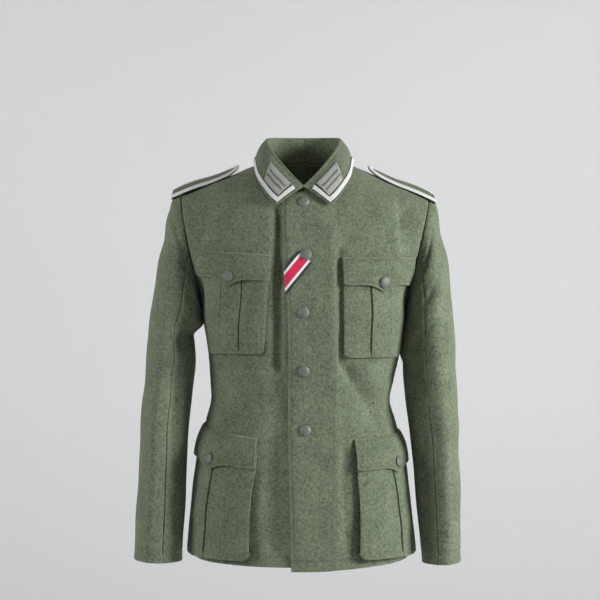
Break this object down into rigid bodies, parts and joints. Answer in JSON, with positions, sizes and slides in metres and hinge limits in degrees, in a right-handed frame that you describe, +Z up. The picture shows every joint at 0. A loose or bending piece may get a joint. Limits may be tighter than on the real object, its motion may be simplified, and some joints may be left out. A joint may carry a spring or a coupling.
{
  "type": "military field tunic",
  "caption": "Closed wool field tunic in its worn, filled-out form, with a turned-down collar, box-pleat pockets with pointed flaps, shoulder boards and domed buttons down the front.",
  "frame": {"origin": "the middle of the neck base, level with the edge of the collar on the shoulders, where a wearer's neck or a hanger holds the garment", "axes": "+Z is up along the length of the garment, the front faces -Y, and +X is the wearer's left"},
  "size_m": [0.5527, 0.2568, 0.7331],
  "materials": {
    "wool": "matt, heavy milled wool",
    "badge_cloth": "matt, fine felted wool",
    "lace": "woven lace with a slight sheen",
    "grey_lace": "woven lace bars on cloth",
    "button": "matt paint on a pebbled dome",
    "ribbon": "ribbed silk ribbon in stripes"
  },
  "bodies": {
    "root": {"back": "wool", "breast_flap_left": "wool", "breast_flap_right": "wool", "breast_pocket_left": "wool", "breast_pocket_right": "wool", "button_breast_left": "button", "button_breast_right": "button", "button_front_1": "button", "button_front_2": "button", "button_front_3": "button", "button_front_4": "button", "button_front_5": "button", "button_skirt_left": "button", "button_skirt_right": "button", "collar": "badge_cloth", "collar_braid": "lace", "collar_patch_left": "grey_lace", "collar_patch_right": "grey_lace", "front_left": "wool", "front_right": "wool", "ribbon": "ribbon", "shoulder_board_left": "wool", "shoulder_board_right": "wool", "skirt_flap_left": "wool", "skirt_flap_right": "wool", "skirt_pocket_left": "wool", "skirt_pocket_right": "wool", "under_sleeve_left": "wool", "under_sleeve_right": "wool", "upper_sleeve_left": "wool", "upper_sleeve_right": "wool"}
  },
  "joints": []
}
